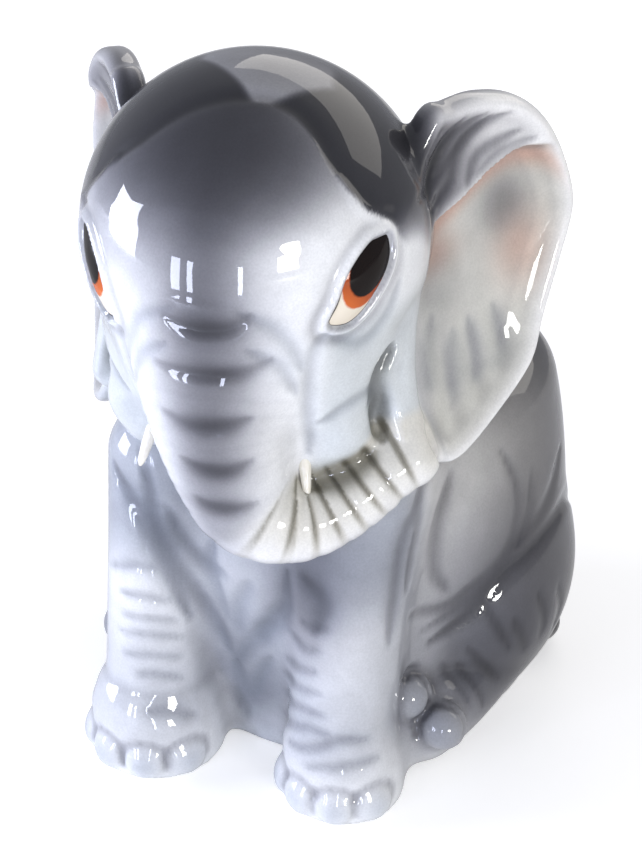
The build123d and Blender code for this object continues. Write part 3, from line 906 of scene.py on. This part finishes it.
def curlStainAndShade(place, upper, hollowPoolAndShade):
    # White, with grey brown in the grooves between the rings and in the pocket over them; the grey brown is
    # stronger on the curl's upper side, under the jaw, which is painted shade.
    turns = (place - curl["start"]) / curl["pitch"]
    groove = (0.5 - 0.5 * np.cos(2 * math.pi * turns)) ** 5 * ramp(place, 58, 66)
    # pooled stain and painted shade: more umber in the hollows
    inHollows = np.clip(hollowPoolAndShade - 0.02, 0, 0.3)
    return dict(
        grey=(0.1 + 0.55 * upper) * groove,
        umber=0.04 + (0.2 + 0.5 * upper) * groove + 0.3 * upper + 0.8 * inHollows,
    )


def cover(tones, share, over):
    for name in tones:
        tones[name] = tones[name] * (1 - share) + share * over.get(name, 0.0)


def paintHead(points, amounts, hollowPoolAndShade):
    local = (points - headCentre) @ headTurn
    x, y, z = local.T
    azimuth = np.degrees(np.arctan2(x, -y)) - faceAzimuth
    edgeAngles, edgePlaces = np.array(domeEdge).T
    edge = np.interp(np.degrees(np.arctan2(x, z)), edgeAngles, edgePlaces)
    behind = ramp(y - edge, -0.5, 1.2)
    place, gap, level = alongRoute(local, [p for p, _ in trunkRoute])
    # a grey band down the trunk, and a thin bluish green wash on the cheeks under the eyes
    band = spot((azimuth,), (0,), (15 - 3 * ramp(-z, 0, 40),)) * (1 - 0.35 * ramp(-z, 20, 60))
    onTrunk = ramp(-z, -14, 8) * (1 - ramp(place, 62, 74))
    sides = 0.03 + 0.45 * ramp(y, -14, 20)
    cheek = ramp(np.abs(azimuth), 32, 44) * ramp(-z, 2, 14) * (1 - ramp(y, -4, 8))
    tones = dict(
        grey=sides + crownStainAndReflection(x, y, z, behind) + faceStainAndShade(azimuth, z, behind) + 1.35 * band * onTrunk,
        umber=0.2 * cheek, blue=0.1 + 0.35 * cheek, blush=np.zeros_like(x),
    )
    onCurl = ramp(place, 56, 66) * (1 - ramp(gap, 10.5, 13.5))
    cover(tones, onCurl, curlStainAndShade(place, ramp(z - level, -5, 4), hollowPoolAndShade))
    for side in (1, -1):
        onEar, earTones = earStain(points, side)
        cover(tones, onEar * (side * x > 24), earTones)
    # pooled stain and painted shade: greyer in hollows and creases
    inHollows = np.clip(hollowPoolAndShade - 0.03, -0.08, 0.4) * (0.8 - 0.4 * onCurl)
    amounts["grey"] = 0.85 * amounts["grey"] + np.clip(tones["grey"], 0.02, None) + inHollows
    amounts["blue"] = 0.6 * amounts["blue"] + tones["blue"]
    for name in ("umber", "blush"):
        amounts[name] = amounts[name] + tones[name]


headClay, eyeHeights = modelHead()


# Eyes: smooth painted domes set in the sockets.
def makeEye(side, heights):
    centre, along, across, facing = eyeAxes(side)
    outline = closedCurve(eyes["outline"], 10)
    shares = np.concatenate([np.linspace(0.06, 0.84, 14), np.linspace(0.87, 1.07, 12)])
    plane = np.vstack([[(0.0, 0.0)], *(outline * share for share in shares)])
    share = np.concatenate([[0.0], *(np.full(len(outline), s) for s in shares)])
    a, c = plane.T
    level = onSurface(heights, a, c) - 0.55 + eyes["bulge"] * (1 - share**2)
    points = centre + np.outer(a, along) + np.outer(c, across) + np.outer(level, facing)
    count = len(outline)
    faces = []
    for i in range(count):
        j = (i + 1) % count
        faces.append((0, 1 + i, 1 + j))
        for ring in range(len(shares) - 1):
            low, high = 1 + ring * count, 1 + (ring + 1) * count
            faces.append((low + i, high + i, high + j, low + j))
    if np.cross(along, across) @ facing < 0:
        faces = [face[::-1] for face in faces]
    # black lash line along the lower and outer edge, thin elsewhere
    lower = ramp(-a + 1.4 * c, -9, 7)
    lash = outlineDistance(eyes["outline"], a, c, (-20, -20), (20, 20), 0.5) + 0.12 + 0.5 * lower
    piece = makePiece("left_eye" if side == 1 else "right_eye", points, faces)
    data = piece.data
    corners = np.empty(len(data.loops), int)
    data.loops.foreach_get("vertex_index", corners)
    data.uv_layers.new(name="UVMap").uv.foreach_set("vector", plane[corners].ravel())
    data.attributes.new("lash", "FLOAT", "POINT").data.foreach_set("value", lash)
    return piece


# Tusks: short milk tusks, bent a little outward.
tuskRoute = (
    ((18.2, -17.0, -39.5), 1.7),
    ((18.6, -20.4, -44.0), 1.6),
    ((19.6, -22.6, -48.5), 1.35),
    ((20.4, -24.0, -52.0), 0.95),
    ((20.7, -24.6, -53.4), 0.4),
)


def makeTusk(side):
    rows = curveThrough([[*inHead(*mirrored(p, side)), r] for p, r in tuskRoute], 6)
    centres, radii = rows[:, :3], rows[:, 3]
    runs = np.gradient(centres, axis=0)
    runs /= np.linalg.norm(runs, axis=1)[:, None]
    first = np.cross(runs, [0.0, 1.0, 0.0])
    first /= np.linalg.norm(first, axis=1)[:, None]
    second = np.cross(runs, first)
    around = np.linspace(0, 2 * math.pi, 28, endpoint=False)
    rings = [
        centre + radius * (np.outer(np.cos(around), u) + np.outer(np.sin(around), v))
        for centre, radius, u, v in zip(centres, radii, first, second)
    ]
    points = np.vstack([*rings, centres[0], centres[-1] + runs[-1] * radii[-1] * 0.6])
    faces = []
    last = len(points) - 1
    count = len(around)
    for i in range(count):
        j = (i + 1) % count
        for ring in range(len(rings) - 1):
            low, high = ring * count, (ring + 1) * count
            faces.append((low + i, low + j, high + j, high + i))
        faces.append((last - 1, j, i))
        faces.append((last, last - 1 - count + i, last - 1 - count + j))
    return makePiece("left_tusk_glazed" if side == 1 else "right_tusk_glazed", points, faces)


# Pieces.
stains = dict(grey="#8c8b8f", umber="#b6b19e", blue="#c3cfdd", blush="#e2b3a4")
ware = "#f0efee"


def firedSkin(name, clay, paint):
    points, normals, faces, amounts, hollowPoolAndShade = clay.mesh(name)
    paint(points, amounts, hollowPoolAndShade)
    return makePiece(name, points, faces, normals, mixPigments(amounts, ware, stains))


bodySkin = firedSkin("body_skin", bodyClay, paintBody)
headSkin = firedSkin("head_skin", headClay, paintHead)
eyePieces = [makeEye(side, eyeHeights[side]) for side in (1, -1)]
tuskPieces = [makeTusk(side) for side in (1, -1)]
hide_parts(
    "torso_shell", "left_foreleg", "right_foreleg", "left_hindleg", "right_hindleg", "tail"
)
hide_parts("head_shell", "trunk", "left_ear", "right_ear")
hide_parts("left_tusk")
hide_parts("right_tusk")
for piece in (bodySkin, headSkin, *eyePieces, *tuskPieces):
    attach(piece, "bank")
print("pieces made")


# Materials.
def addNode(tree, kind, settings=None, **inputs):
    node = tree.nodes.new(kind)
    for key, value in (settings or {}).items():
        setattr(node, key, value)
    for key, value in inputs.items():
        # i0, i1 and so on are sockets by number, the others by name
        byNumber = key[0] == "i" and key[1:].isdigit()
        socket = node.inputs[int(key[1:]) if byNumber else key.replace("_", " ")]
        if isinstance(value, bpy.types.NodeSocket):
            tree.links.new(value, socket)
        else:
            socket.default_value = value
    return node


def newMaterial(name, **inputs):
    material = bpy.data.materials.new(name)
    material.use_nodes = True
    tree = material.node_tree
    shader = tree.nodes["Principled BSDF"]
    for key, value in inputs.items():
        shader.inputs[key.replace("_", " ")].default_value = value
    return material, tree, shader


def grain(tree, coords, size, detail=2.0):
    # noise whose features are this many millimetres across
    return addNode(
        tree, "ShaderNodeTexNoise", Vector=coords, Scale=1 / (size * mm), Detail=detail, Roughness=0.5
    ).outputs["Fac"]


def mixColour(tree, kind, share, first, second):
    settings = dict(data_type="RGBA", blend_type=kind)
    return addNode(tree, "ShaderNodeMix", settings, i0=share, i6=first, i7=second).outputs[2]


def maths(tree, operation, *values):
    inputs = {f"i{n}": value for n, value in enumerate(values)}
    return addNode(tree, "ShaderNodeMath", dict(operation=operation), **inputs).outputs[0]


def remap(tree, value, low, high, toLow, toHigh, kind="LINEAR"):
    return addNode(
        tree, "ShaderNodeMapRange", dict(interpolation_type=kind), Value=value, From_Min=low,
        From_Max=high, To_Min=toLow, To_Max=toHigh,
    ).outputs["Result"]


def objectCoords(tree):
    return addNode(tree, "ShaderNodeTexCoord").outputs["Object"]


def addBump(tree, shader, height, distance, strength=1.0, socket="Normal"):
    bump = addNode(tree, "ShaderNodeBump", Height=height, Distance=distance * mm, Strength=strength)
    tree.links.new(bump.outputs["Normal"], shader.inputs[socket])


# Glossy clear glaze over airbrushed underglaze: the coat is the glaze, poured and fired, with the
# faint ripple that a glaze keeps; the stain underneath has the fine grain of an airbrush.
glaze, tree, shader = newMaterial(
    "clear_glaze_over_airbrushed_stain", Roughness=0.5, Specular_IOR_Level=0.15, Coat_Weight=1.0,
    Coat_Roughness=0.025,
)
coords = objectCoords(tree)
stain = addNode(tree, "ShaderNodeAttribute", dict(attribute_name="underglaze")).outputs["Color"]
spatter = remap(tree, grain(tree, coords, 0.5), 0.3, 0.7, 0.93, 1.04)
cloud = remap(tree, grain(tree, coords, 6.0, 3.0), 0.3, 0.7, 0.94, 1.05)
grainy = mixColour(tree, "MULTIPLY", 1.0, stain, maths(tree, "MULTIPLY", spatter, cloud))
tree.links.new(grainy, shader.inputs["Base Color"])
addBump(tree, shader, grain(tree, coords, 5.0), 0.05, 0.5)
addBump(tree, shader, grain(tree, coords, 7.0), 0.07, 0.5, "Coat Normal")

# Milk-white ivory glaze on the tusks, brushed on by hand.
tuskGlaze, tree, shader = newMaterial(
    "ivory_glaze_brushed", Roughness=0.4, Coat_Weight=1.0, Coat_Roughness=0.03
)
coords = objectCoords(tree)
streaks = remap(tree, grain(tree, coords, 1.6), 0.3, 0.7, 0.0, 1.0)
tree.links.new(
    mixColour(tree, "MIX", streaks, colour("#f3efe4"), colour("#eae4d3")), shader.inputs["Base Color"]
)

# Eyes painted by hand under the glaze: dark pupil, orange iris below it, cream white and a lash line.
eyePaint, tree, shader = newMaterial(
    "hand_painted_eye_under_glaze", Roughness=0.5, Specular_IOR_Level=0.0, Coat_Weight=0.55,
    Coat_Roughness=0.02,
)
uv = addNode(tree, "ShaderNodeSeparateXYZ", Vector=addNode(tree, "ShaderNodeTexCoord").outputs["UV"])
brush = grain(tree, objectCoords(tree), 0.9)


def oval(middle, half, soft):
    # 1 inside an oval of the eye's plane, 0 outside
    u, v = (
        maths(tree, "DIVIDE", maths(tree, "SUBTRACT", uv.outputs[i], middle[i]), half[i]) for i in (0, 1)
    )
    flat = addNode(tree, "ShaderNodeCombineXYZ", X=u, Y=v).outputs[0]
    size = addNode(tree, "ShaderNodeVectorMath", dict(operation="LENGTH"), i0=flat).outputs["Value"]
    uneven = maths(tree, "MULTIPLY_ADD", brush, 0.05, size)
    return remap(tree, uneven, 1.025 - soft, 1.025 + soft, 1.0, 0.0)


iris = oval((1.6, 0.0), (8.8, 5.5), 0.03)
irisGlow = remap(tree, uv.outputs[0], -7.0, -1.0, 0.0, 1.0)
orange = mixColour(tree, "MIX", irisGlow, colour("#cf6a32"), colour("#9a3f1c"))
pupil = oval((3.6, -0.45), (8.0, 4.85), 0.03)
lashPlace = addNode(tree, "ShaderNodeAttribute", dict(attribute_name="lash")).outputs["Fac"]
lash = remap(tree, lashPlace, -0.12, 0.06, 0.0, 1.0)
lidShade = remap(tree, uv.outputs[1], -3.0, 3.5, 0.0, 1.0)
sclera = mixColour(tree, "MIX", lidShade, colour("#f3ead9"), colour("#ddd2c0"))
painted = mixColour(tree, "MIX", iris, sclera, orange)
painted = mixColour(tree, "MIX", pupil, painted, colour("#130b08"))
painted = mixColour(tree, "MIX", lash, painted, colour("#15110f"))
tree.links.new(painted, shader.inputs["Base Color"])

# Bare fired clay on the foot and the base plate, wiped with a sponge before firing.
bareClay, tree, shader = newMaterial("bare_earthenware_sponged", Roughness=0.85)
coords = objectCoords(tree)
mottle = remap(tree, grain(tree, coords, 3.0, 5.0), 0.3, 0.7, 0.0, 1.0)
tree.links.new(
    mixColour(tree, "MIX", mottle, colour("#ddd2c0"), colour("#cfc1ab")), shader.inputs["Base Color"]
)
addBump(tree, shader, grain(tree, coords, 0.7, 4.0), 0.06)

# Black rubber of the stopper, moulded matt.
rubber, tree, shader = newMaterial("black_rubber_moulded", Roughness=0.62)
coords = objectCoords(tree)
dust = remap(tree, grain(tree, coords, 2.0, 4.0), 0.4, 0.75, 0.0, 0.5)
tree.links.new(
    mixColour(tree, "MIX", dust, colour("#1d1d1f"), colour("#353436")), shader.inputs["Base Color"]
)
addBump(tree, shader, grain(tree, coords, 0.4, 3.0), 0.03)

for piece in (bodySkin, headSkin):
    piece.data.materials.append(glaze)
for piece in eyePieces:
    piece.data.materials.append(eyePaint)
for piece in tuskPieces:
    piece.data.materials.append(tuskGlaze)
for node, material, slotName in (
    ("base_plate", bareClay, "bare_clay"), ("stopper", rubber, "stopper_rubber")
):
    piece = frame["nodes"][node]
    piece.data.materials.clear()
    piece.data.materials.append(material)
print("materials made")

# Camera.
view = dict(
    azimuth=27.0, elevation=30.0, distance=450.0, target=(0.0, -10.0, 85.0), pixelsPerMm=4.0,
    imageHeight=845, sensor=36.0,
)
camera = addObject("camera", bpy.data.cameras.new("camera"))
bpy.context.scene.camera = camera


def towards(azimuth, elevation):
    # a direction, by degrees round from straight ahead of the figure and above the floor
    a, e = math.radians(azimuth), math.radians(elevation)
    return Vector((math.sin(a) * math.cos(e), -math.cos(a) * math.cos(e), math.sin(e)))


back = towards(view["azimuth"], view["elevation"])
camera.location = (Vector(view["target"]) + back * view["distance"]) * mm
camera.rotation_euler = (-back).to_track_quat("-Z", "Y").to_euler()
camera.data.sensor_width = view["sensor"]
camera.data.lens = view["pixelsPerMm"] * view["distance"] / view["imageHeight"] * view["sensor"]
camera.data.clip_start = 0.01

# Light: cool windows in front and to the figure's right, and a soft fill.
windows = dict(
    side=dict(azimuth=-66, elevation=5, far=1500, size=(700, 640), power=25, tint="#e8edff"),
    frontLeft=dict(azimuth=-20, elevation=2, far=600, size=(66, 190), power=0.7, tint="#dfe6ff"),
    frontMiddle=dict(azimuth=-10, elevation=2, far=600, size=(38, 190), power=0.45, tint="#dfe6ff"),
    frontRight=dict(azimuth=23, elevation=2, far=600, size=(34, 190), power=0.4, tint="#dfe6ff"),
    right=dict(azimuth=54, elevation=6, far=1500, size=(320, 240), power=9, tint="#fbfaf6"),
    behind=dict(azimuth=168, elevation=38, far=1500, size=(2300, 700), power=8, tint="#fffaf2"),
)
for name, lamp in windows.items():
    light = bpy.data.lights.new(name, "AREA")
    light.shape = "RECTANGLE"
    light.size, light.size_y = lamp["size"][0] * mm, lamp["size"][1] * mm
    light.energy = lamp["power"]
    light.color = colour(lamp["tint"])[:3]
    panel = addObject(name, light)
    direction = towards(lamp["azimuth"], lamp["elevation"])
    panel.location = (Vector(view["target"]) + direction * lamp["far"]) * mm
    panel.rotation_euler = (-direction).to_track_quat("-Z", "Y").to_euler()
    panel.visible_camera = False

# Ground: a pale plain floor, and a pale surround that the glaze sees more dimly.
floorMesh = bpy.data.meshes.new("floor")
half = 4.0
corners = [(-half, -half, 0), (half, -half, 0), (half, half, 0), (-half, half, 0)]
floorMesh.from_pydata(corners, [], [(0, 1, 2, 3)])
floor = addObject("floor", floorMesh)
paper, tree, shader = newMaterial(
    "white_paper_matt", Base_Color=colour("#f6f6f6"), Roughness=0.9, Specular_IOR_Level=0.1,
    Emission_Color=colour("#ffffff"),
)
seen = addNode(tree, "ShaderNodeLightPath").outputs["Is Camera Ray"]
# as the camera sees it, the floor brightens into the pale surround beyond the object
far = addNode(tree, "ShaderNodeVectorMath", dict(operation="LENGTH"), i0=objectCoords(tree)).outputs["Value"]
glow = remap(tree, far, 0.3, 1.6, 0.42, 1.0, "SMOOTHSTEP")
tree.links.new(maths(tree, "MULTIPLY", seen, glow), shader.inputs["Emission Strength"])
floorMesh.materials.append(paper)
world = bpy.data.worlds.new("studio")
bpy.context.scene.world = world
world.use_nodes = True
tree = world.node_tree
path = addNode(tree, "ShaderNodeLightPath")
surround = mixColour(tree, "MIX", path.outputs["Is Camera Ray"], colour("#a6a8af"), colour("#ffffff"))
tree.links.new(surround, tree.nodes["Background"].inputs["Color"])
tree.nodes["Background"].inputs["Strength"].default_value = 1.0
bpy.context.scene.view_settings.view_transform = "Standard"
print("studio made")
